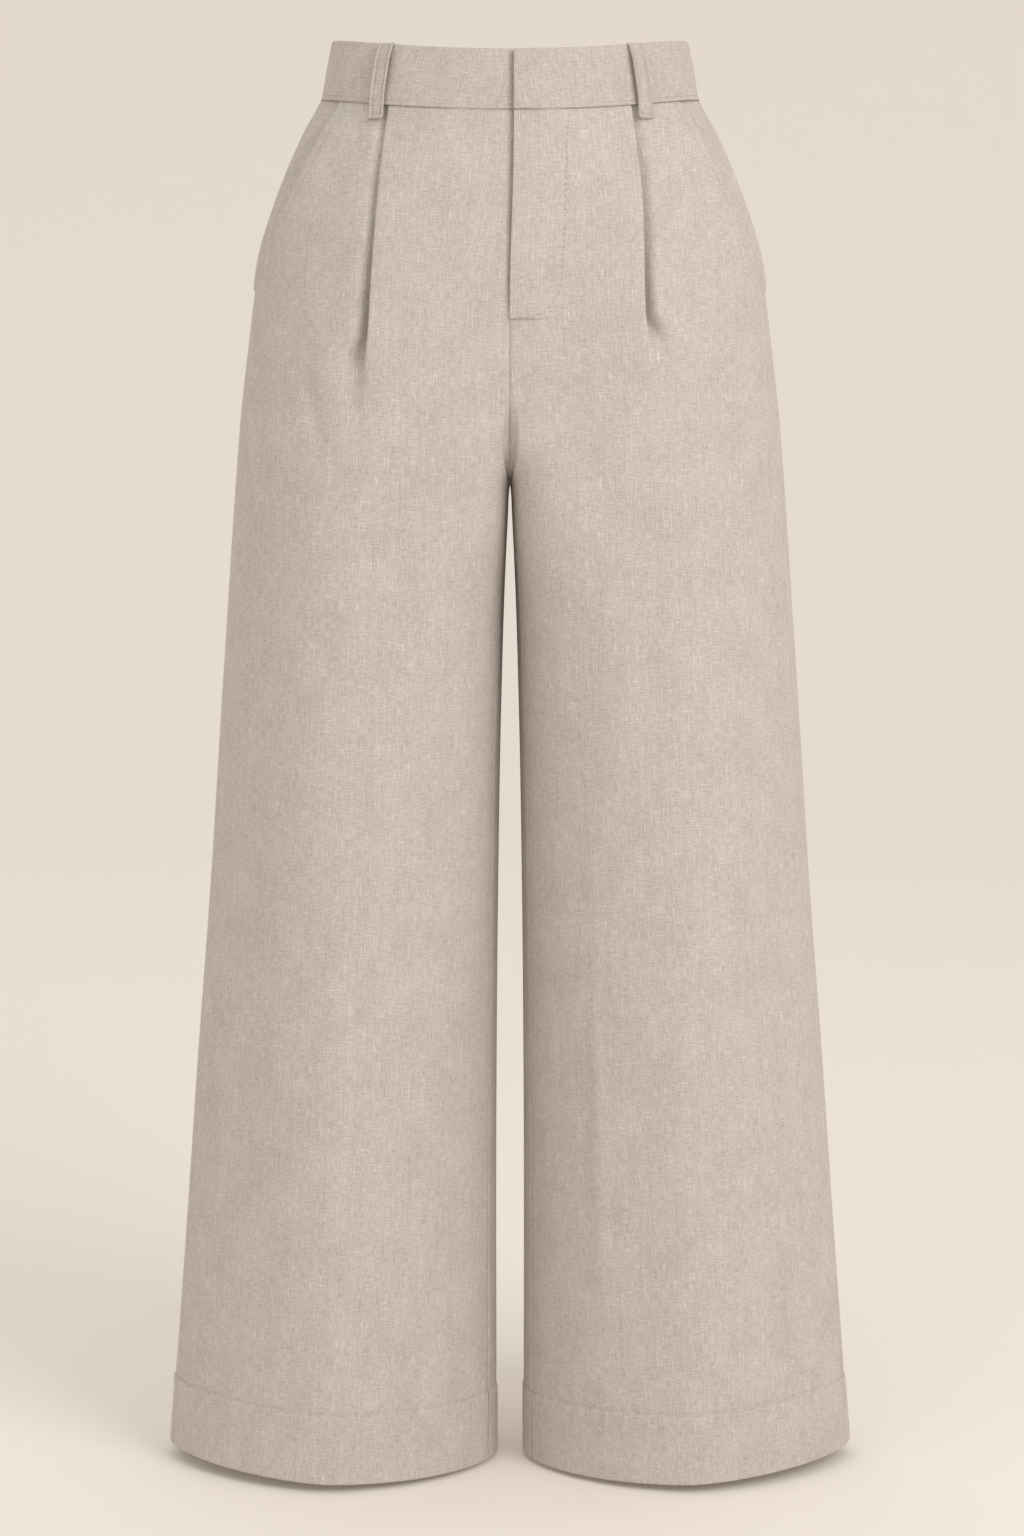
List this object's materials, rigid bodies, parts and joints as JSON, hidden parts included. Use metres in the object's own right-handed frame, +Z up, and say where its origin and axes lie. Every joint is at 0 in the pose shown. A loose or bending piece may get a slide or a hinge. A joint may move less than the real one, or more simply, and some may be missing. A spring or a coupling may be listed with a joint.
{
  "type": "wide-leg trousers",
  "caption": "High-waisted wide-leg linen trousers, filled out as worn: flat front band, fly lap, pleats, slant pockets, belt loops, elasticated back.",
  "frame": {"origin": "centre of the waist at half the height of the waistband, where the wearer's waist holds the trousers", "axes": "+Z up along the wearer, -Y towards the front, +X towards the viewer's right as the front is looked at"},
  "size_m": [0.5294, 0.2394, 1.0771],
  "materials": {
    "linen": "undyed greige linen, plain weave with slubs, matte",
    "band_linen": "the same linen, doubled and stitched, matte"
  },
  "bodies": {
    "root": {"front_left": "linen", "front_right": "linen", "back_left": "linen", "back_right": "linen", "pocket_side_left": "linen", "pocket_side_right": "linen", "waistband_front_left": "band_linen", "waistband_front_right": "band_linen", "waistband_back": "band_linen", "belt_loop_front_left": "band_linen", "belt_loop_front_right": "band_linen", "belt_loop_back_left": "band_linen", "belt_loop_back_right": "band_linen", "belt_loop_back_centre": "band_linen"}
  },
  "joints": []
}
